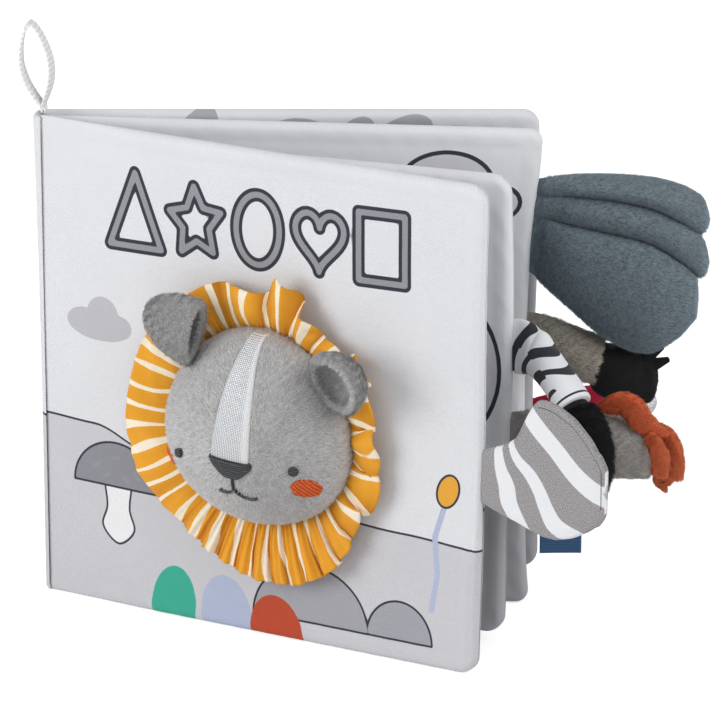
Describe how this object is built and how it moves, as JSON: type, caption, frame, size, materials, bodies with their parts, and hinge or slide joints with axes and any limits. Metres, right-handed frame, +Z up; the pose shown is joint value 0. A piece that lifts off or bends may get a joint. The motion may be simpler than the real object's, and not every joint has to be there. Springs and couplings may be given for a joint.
{
  "type": "soft cloth activity book",
  "caption": "Square soft cloth book with padded covers and pages that fan open, a stuffed lion head in a ruffled mane on the front, fabric tails along the fore-edge and a hanging loop.",
  "frame": {"origin": "middle of the spine band's foot, on the surface the book stands on", "axes": "+X along the back cover from the spine to the fore-edge, +Y out of the back cover's outer face, +Z up along the spine"},
  "size_m": [0.2497, 0.126, 0.2169],
  "materials": {
    "cover_cloth": "white and grey printed twill, matt",
    "page_cloth": "white and grey printed twill, matt",
    "crackle_film": "thin clear crackling film",
    "wadding": "white polyester fibre",
    "loop_twill": "white ribbed tape",
    "label_weave": "dark blue woven ribbon",
    "head_plush": "short grey plush",
    "glitter_cloth": "silver knit with glitter threads",
    "nose_stitch": "dark grey satin stitch",
    "cheek_stitch": "orange satin stitch",
    "mane_cloth": "yellow cotton with off-white stripes",
    "leaf_tail_print": "heathered grey cotton with white bands",
    "zebra_print": "white cotton with charcoal bands",
    "black_plush": "black short plush",
    "grey_plush": "warm grey plush",
    "orange_plush": "orange plush",
    "slate_plush": "slate blue plush",
    "brown_plush": "brown grey plush",
    "red_cloth": "red cotton"
  },
  "bodies": {
    "back_cover": {"spine_band": "cover_cloth", "back_cover_outside": "cover_cloth", "back_cover_inside": "cover_cloth", "back_cover_film": "crackle_film", "back_cover_padding": "wadding"},
    "page_two": {"page_two_front": "page_cloth", "page_two_back": "page_cloth", "page_two_film": "crackle_film", "page_two_padding": "wadding"},
    "page_one": {"page_one_front": "page_cloth", "page_one_back": "page_cloth", "page_one_film": "crackle_film", "page_one_padding": "wadding"},
    "front_cover": {"front_cover_outside": "cover_cloth", "front_cover_inside": "cover_cloth", "front_cover_film": "crackle_film", "front_cover_padding": "wadding", "lion_head_cover": "head_plush", "lion_head_stuffing": "wadding", "lion_nose_bridge": "glitter_cloth", "lion_nose": "nose_stitch", "lion_mouth": "nose_stitch", "lion_eye_left": "nose_stitch", "lion_eye_right": "nose_stitch", "lion_cheek_left": "cheek_stitch", "lion_cheek_right": "cheek_stitch", "lion_ear_left": "head_plush", "lion_ear_right": "head_plush", "lion_mane": "mane_cloth"},
    "hanging_loop": {"hanging_loop": "loop_twill"},
    "edge_label": {"edge_label": "label_weave"},
    "leaf_tail": {"leaf_tail_front": "leaf_tail_print", "leaf_tail_back": "leaf_tail_print", "leaf_tail_film": "crackle_film"},
    "zebra_tail": {"zebra_tail_sleeve": "zebra_print", "zebra_tail_stuffing": "wadding", "zebra_tail_tuft": "black_plush"},
    "grey_tail": {"grey_tail_sleeve": "grey_plush", "grey_tail_stuffing": "wadding", "grey_tail_strip_top": "orange_plush", "grey_tail_strip_end": "orange_plush", "grey_tail_strip_front": "orange_plush", "grey_tail_strip_back": "orange_plush"},
    "plume_tail": {"plume_lower_finger": "slate_plush", "plume_lower_stuffing": "wadding", "plume_middle_finger": "slate_plush", "plume_middle_stuffing": "wadding", "plume_upper_finger": "slate_plush", "plume_upper_stuffing": "wadding"},
    "brown_tail": {"brown_tail_sleeve": "brown_plush", "brown_tail_stuffing": "wadding", "brown_tail_tassel": "black_plush"},
    "red_tail": {"red_tail_sleeve": "red_cloth", "red_tail_stuffing": "wadding", "red_tail_tip": "glitter_cloth"}
  },
  "joints": [
    {"name": "page_two_turn", "type": "hinge", "parent": "back_cover", "child": "page_two", "pos_m": [0.0019, 0.0014, 0], "axis": [0, 0, -1], "range_deg": [-1.5, 84], "deforming": ["spine_band"]},
    {"name": "page_one_turn", "type": "hinge", "parent": "page_two", "child": "page_one", "pos_m": [0.0019, -0.0014, 0], "axis": [0, 0, -1], "range_deg": [-5.5, 77], "deforming": ["spine_band"]},
    {"name": "front_cover_turn", "type": "hinge", "parent": "page_one", "child": "front_cover", "pos_m": [0.0019, -0.0042, 0], "axis": [0, 0, -1], "range_deg": [-2, 100], "deforming": ["spine_band"]},
    {"name": "hanging_loop_flop", "type": "hinge", "parent": "back_cover", "child": "hanging_loop", "pos_m": [0.0019, 0, 0.1846], "axis": [0, 1, 0], "range_deg": [-60, 60], "stiffness_Nm_per_rad": 0.002},
    {"name": "edge_label_bend", "type": "hinge", "parent": "back_cover", "child": "edge_label", "pos_m": [0.18534, 0.0042, 0.0153], "axis": [0, 0, -1], "range_deg": [-75, 0], "stiffness_Nm_per_rad": 0.002},
    {"name": "leaf_tail_swing", "type": "hinge", "parent": "front_cover", "child": "leaf_tail", "pos_m": [0.16225, -0.09308, 0.0755], "axis": [0, 0, -1], "range_deg": [0, 75], "stiffness_Nm_per_rad": 0.01},
    {"name": "zebra_tail_swing", "type": "hinge", "parent": "page_one", "child": "zebra_tail", "pos_m": [0.17311, -0.06035, 0.113], "axis": [0, 0, -1], "range_deg": [0, 12], "stiffness_Nm_per_rad": 0.01},
    {"name": "grey_tail_swing", "type": "hinge", "parent": "page_one", "child": "grey_tail", "pos_m": [0.1726, -0.06018, 0.0785], "axis": [0, 0, -1], "range_deg": [-12, 0], "stiffness_Nm_per_rad": 0.01},
    {"name": "plume_tail_swing", "type": "hinge", "parent": "page_two", "child": "plume_tail", "pos_m": [0.18141, -0.01747, 0.146], "axis": [0, 0, -1], "range_deg": [-20, 20], "stiffness_Nm_per_rad": 0.01},
    {"name": "brown_tail_swing", "type": "hinge", "parent": "page_two", "child": "brown_tail", "pos_m": [0.1795, -0.01727, 0.101], "axis": [0, 0, -1], "range_deg": [-6, 15], "stiffness_Nm_per_rad": 0.01},
    {"name": "red_tail_swing", "type": "hinge", "parent": "back_cover", "child": "red_tail", "pos_m": [0.18305, 0.0042, 0.069], "axis": [0, 0, -1], "range_deg": [-60, 0], "stiffness_Nm_per_rad": 0.01}
  ]
}
